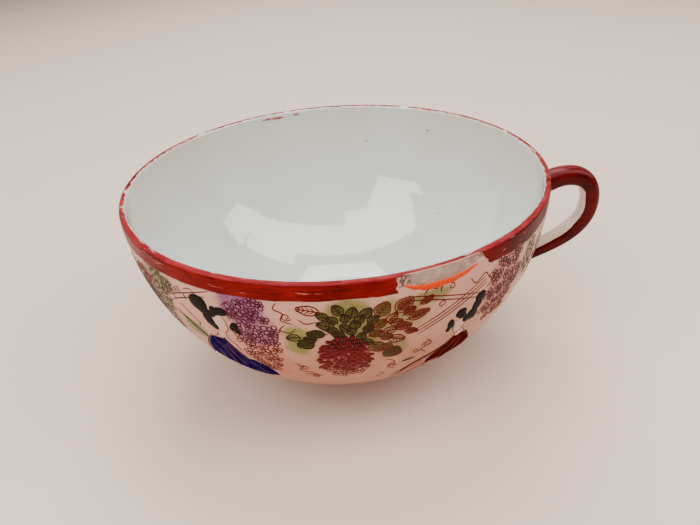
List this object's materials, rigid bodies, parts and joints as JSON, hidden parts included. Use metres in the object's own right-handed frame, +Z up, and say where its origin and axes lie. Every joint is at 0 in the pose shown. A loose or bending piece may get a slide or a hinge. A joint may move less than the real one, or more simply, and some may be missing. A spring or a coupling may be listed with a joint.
{
  "type": "teacup",
  "caption": "Wide, shallow porcelain teacup with a round bottom, a low foot ring, a small ear-shaped handle and an enamelled rim band.",
  "frame": {"origin": "middle of the cup's box, handle included, at the level of the foot ring's underside; the bowl's own axis stands 6.7 mm behind it, at x = -0.0067", "axes": "+Z up along the bowl's axis, +X from the bowl towards the handle, Y across the handle's plane"},
  "size_m": [0.1108, 0.0974, 0.0502],
  "materials": {
    "porcelain": "clear glossy glaze over thin white porcelain",
    "bare_porcelain": "glazed at the sides, wiped bare and smooth underneath",
    "red_enamel": "brushed iron-red overglaze enamel, worn in streaks",
    "lip_enamel": "thin iron-red overglaze line, rubbed at the edge",
    "maroon_enamel": "glossy maroon overglaze enamel"
  },
  "bodies": {
    "root": {"bowl": "porcelain", "foot_ring": "bare_porcelain", "handle": "porcelain", "handle_upper_slip": "porcelain", "handle_lower_slip": "porcelain", "rim_band": "red_enamel", "lip_line": "lip_enamel", "handle_enamel": "maroon_enamel"}
  },
  "joints": []
}
